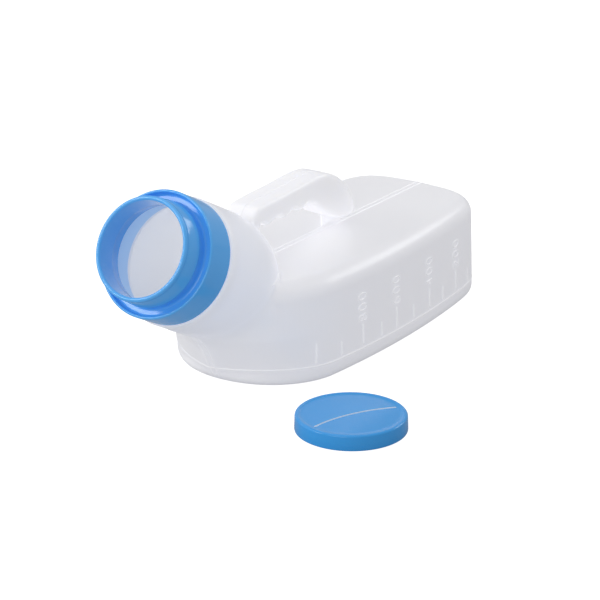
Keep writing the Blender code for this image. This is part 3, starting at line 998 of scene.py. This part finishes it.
def make_floor():
    """A pale floor that the camera sees brighter than the object does."""
    mesh = bpy.data.meshes.new("floor")
    work = bmesh.new()
    bmesh.ops.create_grid(work, x_segments=8, y_segments=8, size=FLOOR_HALF_WIDTH)
    work.to_mesh(mesh)
    work.free()
    floor = new_object("floor", mesh)
    material = bpy.data.materials.new("pale_floor")
    material.use_nodes = True
    tree = material.node_tree
    shader = tree.nodes["Principled BSDF"]
    shader.inputs["Base Color"].default_value = FLOOR_SHADE
    shader.inputs["Roughness"].default_value = FLOOR_ROUGHNESS
    shader.inputs["Specular IOR Level"].default_value = 0.0
    shader.inputs["Emission Color"].default_value = (1.0, 1.0, 1.0, 1.0)
    seen = node(tree, "ShaderNodeLightPath")
    glow = node(tree, "ShaderNodeMath", operation="MULTIPLY")
    glow.inputs[1].default_value = FLOOR_GLOW
    tree.links.new(seen.outputs["Is Camera Ray"], glow.inputs[0])
    tree.links.new(glow.outputs["Value"], shader.inputs["Emission Strength"])
    floor.data.materials.append(material)


def area_light(name, place, aim, size, power):
    """A rectangular soft light at a place, facing another."""
    data = bpy.data.lights.new(name, "AREA")
    data.shape = "RECTANGLE"
    data.size, data.size_y = size
    data.energy = power
    light = new_object(name, data)
    light.location = place
    light.rotation_euler = (Vector(aim) - Vector(place)).to_track_quat("-Z", "Y").to_euler()


def make_light():
    """Soft studio lights, and a plain backdrop that the camera sees brighter than the object does."""
    world = bpy.data.worlds.new("studio")
    bpy.context.scene.world = world
    world.use_nodes = True
    background = world.node_tree.nodes["Background"]
    background.inputs["Color"].default_value = WORLD_SHADE
    seen = node(world.node_tree, "ShaderNodeLightPath")
    strength = node(world.node_tree, "ShaderNodeMapRange")
    strength.inputs["To Min"].default_value = WORLD_LIGHT
    strength.inputs["To Max"].default_value = 1.0
    world.node_tree.links.new(seen.outputs["Is Camera Ray"], strength.inputs["Value"])
    world.node_tree.links.new(strength.outputs["Result"], background.inputs["Strength"])
    for light in LIGHTS:
        area_light(*light)


def main():
    bpy.context.scene.view_settings.view_transform = "Standard"
    # Each glow below is painted light, an emission standing in for light let through the plastic
    milky = moulded("milky_polypropylene", (0.905, 0.903, 0.912), (0.885, 0.884, 0.894),
                    **MILKY_FINISH, **MILKY_DEPTH, glow=(0.175, 0.174, 0.190),
                    top_shade=(0.885, 0.883, 0.892), coat=0.15)
    # Painted light: a blue tint and blue glow on the milky neck for the blue collar's light seen through it
    painted_blue_through = moulded("milky_over_blue", (0.50, 0.62, 0.80), (0.46, 0.58, 0.77),
                        **MILKY_FINISH, glow=(0.09, 0.16, 0.24))
    inside = moulded("milky_lining", (0.840, 0.845, 0.862), (0.820, 0.826, 0.845),
                     **MILKY_FINISH, **MILKY_DEPTH, glow=(0.108, 0.109, 0.117))
    # Painted highlight: the raised lines are a touch lighter than the wall and glow more, so they read as
    # lit ridges
    raised_highlit = moulded("milky_raised", (0.91, 0.91, 0.92), (0.89, 0.89, 0.90),
                     **RAISED_FINISH, glow=(0.210, 0.210, 0.226))
    ring_blue = moulded("blue_ring", (0.095, 0.430, 0.900), (0.085, 0.405, 0.870),
                        **BLUE_FINISH, glow=(0.010, 0.032, 0.070))
    cap_blue = moulded("blue_cap", (0.045, 0.370, 0.860), (0.040, 0.350, 0.830), **BLUE_FINISH)
    # Painted highlight: the cap's rib is a much lighter blue than the cap, for the bright line along it
    rib_highlight_blue = moulded("blue_rib_highlight", (0.560, 0.740, 0.950), (0.530, 0.710, 0.930), **BLUE_FINISH)

    mesh, parting, beside = bottle_mesh()
    bottle = new_object("bottle_skin", mesh)
    set_material(bottle, milky, painted_blue_through, inside)
    ticks = raised_lines("graduation_ticks", tick_lines(), MARK_HALF, MARK_PROUD)
    numerals = raised_lines("graduation_numerals", numeral_lines(), NUMERAL_HALF, NUMERAL_PROUD)
    seams = raised_lines("parting_lines", parting_lines(parting, beside), PARTING_HALF, PARTING_PROUD)
    # A low bead of the lighter raised material along the hood's foot, giving the bright line there
    hood_bead = raised_lines("hood_bead", hood_edge(), HOOD_BEAD_HALF, HOOD_BEAD_PROUD)
    # Painted highlight: a bright ridge round the body where the base radius ends
    base_highlight_ridge = raised_lines("base_highlight_line", base_highlight_line(), BASE_HIGHLIGHT_HALF, BASE_HIGHLIGHT_PROUD)
    for piece in (ticks, numerals, seams, hood_bead, base_highlight_ridge):
        set_material(piece, raised_highlit)
    for piece in (bottle, ticks, numerals, seams, hood_bead, base_highlight_ridge):
        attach(piece, "bottle")
        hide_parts("bottle")

    ring = new_object("inlet_ring_turned", ring_mesh())
    set_material(ring, ring_blue)
    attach(ring, "inlet_ring")
    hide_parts("inlet_ring")

    cap = new_object("cap_turned", cap_mesh())
    set_material(cap, cap_blue)
    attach(cap, "cap")
    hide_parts("cap")
    rib = cap_rib()
    set_material(rib, rib_highlight_blue)
    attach(rib, "cap")
    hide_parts("cap")

    main_camera()
    make_floor()
    make_light()


main()
